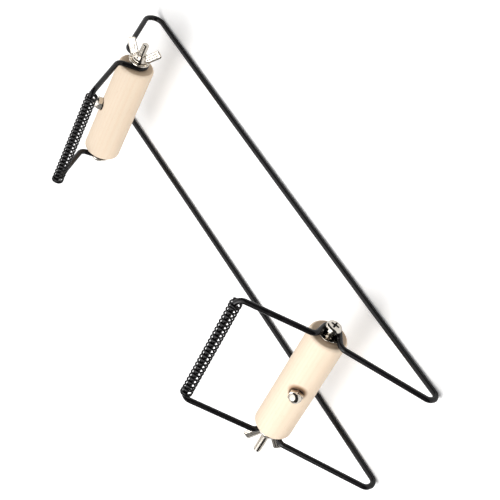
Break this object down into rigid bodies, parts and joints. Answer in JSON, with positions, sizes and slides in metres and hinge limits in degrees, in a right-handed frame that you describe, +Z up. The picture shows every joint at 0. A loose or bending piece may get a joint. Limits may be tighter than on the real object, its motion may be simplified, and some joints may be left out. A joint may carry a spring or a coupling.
{
  "type": "ham holder stand",
  "caption": "Low wire stand that holds a ham: one bent coated wire frame carries wooden rollers on clamped screws and spring-covered bars, wider at the ham's end and narrower at its shank",
  "frame": {"origin": "On the table, under the middle of everything the stand reaches in X and Y", "axes": "+X across the stand, along the roller screws; +Y from the front (wide, ham) end to the rear (narrow, shank) end; +Z up"},
  "size_m": [0.1512, 0.4272, 0.117],
  "materials": {
    "black_coat": "smooth semi-gloss black coat over steel wire",
    "pale_wood": "pale fine-grained turned wood, sanded and left bare",
    "bright_steel": "bright nickel plate",
    "plated_insert": "bright plated steel insert"
  },
  "bodies": {
    "frame": {"frame_wire": "black_coat"},
    "front_axle": {"front_roller": "pale_wood", "front_axle_screw": "bright_steel", "front_head_washer": "bright_steel", "front_stud_insert": "plated_insert", "front_lock_stud": "bright_steel", "front_cap_nut": "bright_steel"},
    "front_clamp_washer": {"front_clamp_washer": "bright_steel"},
    "front_wing_nut": {"front_wing_nut": "bright_steel"},
    "front_spring": {"front_spring": "black_coat"},
    "rear_axle": {"rear_roller": "pale_wood", "rear_axle_screw": "bright_steel", "rear_head_washer": "bright_steel", "rear_stud_insert": "plated_insert", "rear_lock_stud": "bright_steel", "rear_cap_nut": "bright_steel"},
    "rear_clamp_washer": {"rear_clamp_washer": "bright_steel"},
    "rear_wing_nut": {"rear_wing_nut": "bright_steel"},
    "rear_spring": {"rear_spring": "black_coat"}
  },
  "joints": [
    {"name": "front_roller_turn", "type": "hinge", "parent": "frame", "child": "front_axle", "pos_m": [0.00743, -0.1402, 0.05477], "axis": [1, 0, 0], "continuous": true},
    {"name": "front_washer_slide", "type": "slide", "parent": "front_axle", "child": "front_clamp_washer", "axis": [-1, 0, 0], "range_m": [0, 0.003]},
    {"name": "front_nut_turn", "type": "hinge", "parent": "front_clamp_washer", "child": "front_wing_nut", "pos_m": [0.00743, -0.1402, 0.05477], "axis": [-1, 0, 0], "range_deg": [0, 1082]},
    {"name": "front_spring_turn", "type": "hinge", "parent": "frame", "child": "front_spring", "pos_m": [0.00743, -0.09779, 0.11068], "axis": [1, 0, 0], "continuous": true},
    {"name": "rear_roller_turn", "type": "hinge", "parent": "frame", "child": "rear_axle", "pos_m": [0.00743, 0.15561, 0.0533], "axis": [1, 0, 0], "continuous": true},
    {"name": "rear_washer_slide", "type": "slide", "parent": "rear_axle", "child": "rear_clamp_washer", "axis": [1, 0, 0], "range_m": [0, 0.003]},
    {"name": "rear_nut_turn", "type": "hinge", "parent": "rear_clamp_washer", "child": "rear_wing_nut", "pos_m": [0.00743, 0.15561, 0.0533], "axis": [1, 0, 0], "range_deg": [0, 1082]},
    {"name": "rear_spring_turn", "type": "hinge", "parent": "frame", "child": "rear_spring", "pos_m": [0.00743, 0.12414, 0.11214], "axis": [1, 0, 0], "continuous": true}
  ],
  "couplings": [
    {"joint": "front_nut_turn", "follows": "front_washer_slide", "rad_per_m": 6283.2},
    {"joint": "rear_nut_turn", "follows": "rear_washer_slide", "rad_per_m": 6283.2}
  ]
}
